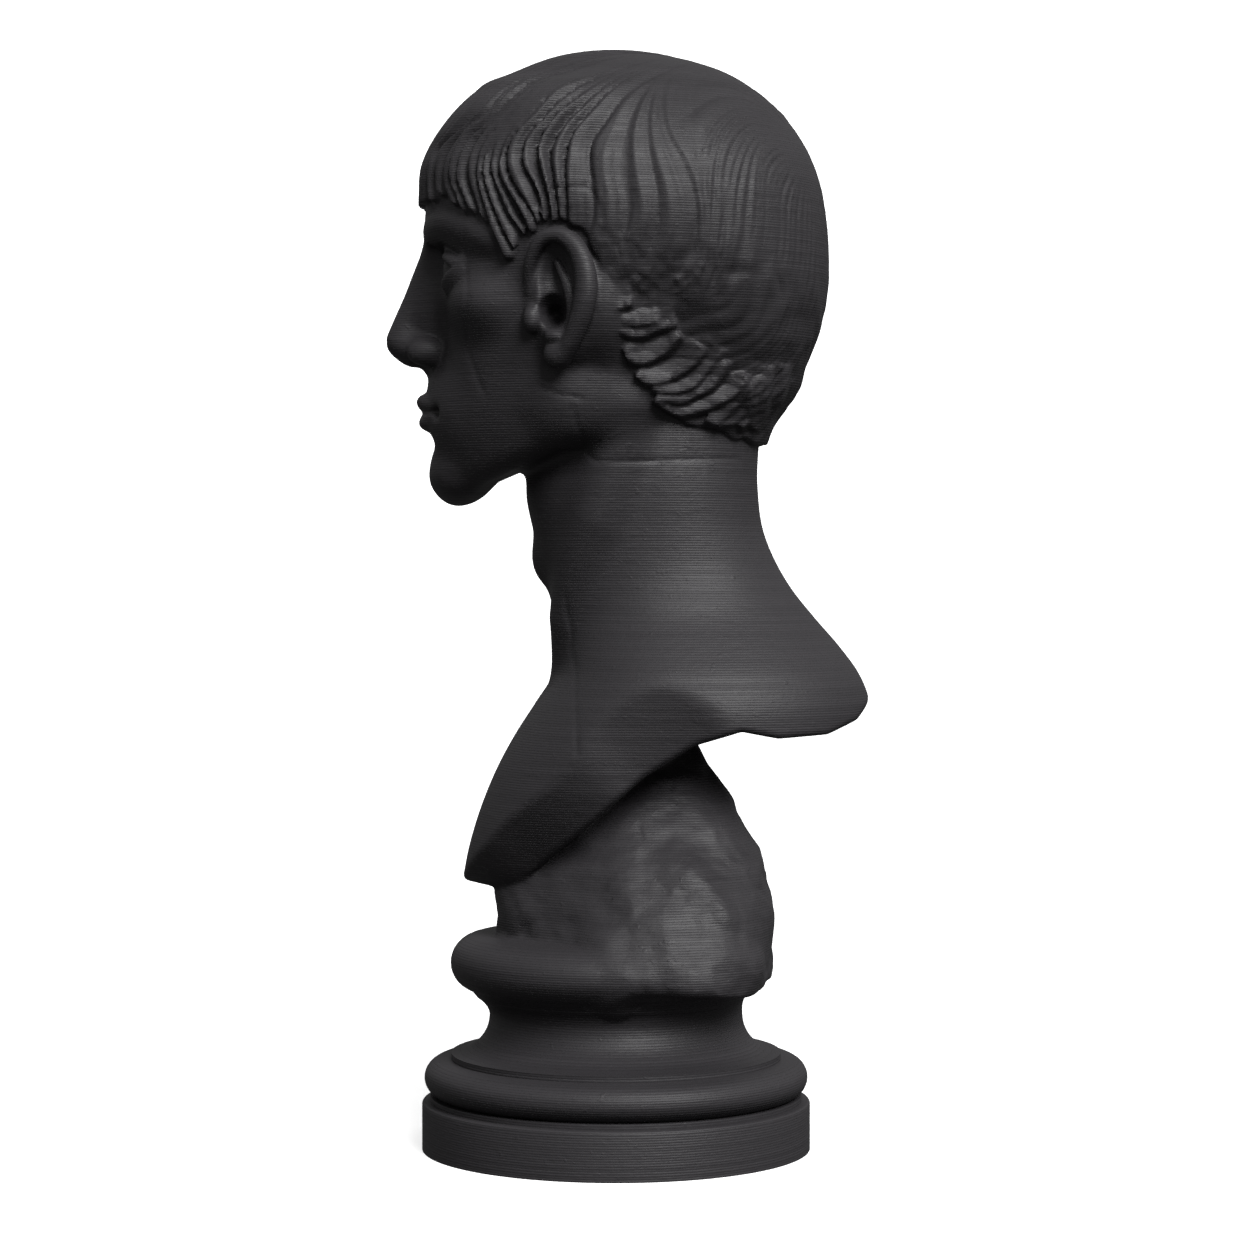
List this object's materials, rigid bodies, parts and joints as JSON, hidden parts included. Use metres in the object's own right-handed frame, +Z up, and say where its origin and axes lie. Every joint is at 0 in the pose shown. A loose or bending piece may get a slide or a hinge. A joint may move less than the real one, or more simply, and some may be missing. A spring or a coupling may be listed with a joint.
{
  "type": "3-d printed male bust",
  "caption": "Desk-size printed copy of a classical male portrait bust: combed hair, nude neck and pointed chest on a rough block and a turned round socle, in one piece.",
  "frame": {"origin": "centre of the round socle's flat underside", "axes": "+Z up from the socle to the crown of the head; the face looks along -Y; +X is the bust's own left side"},
  "size_m": [0.0318, 0.0395, 0.0899],
  "materials": {
    "dark_plastic": "matte dark grey printed plastic with fine level layer lines"
  },
  "bodies": {
    "root": {"bust": "dark_plastic"}
  },
  "joints": []
}
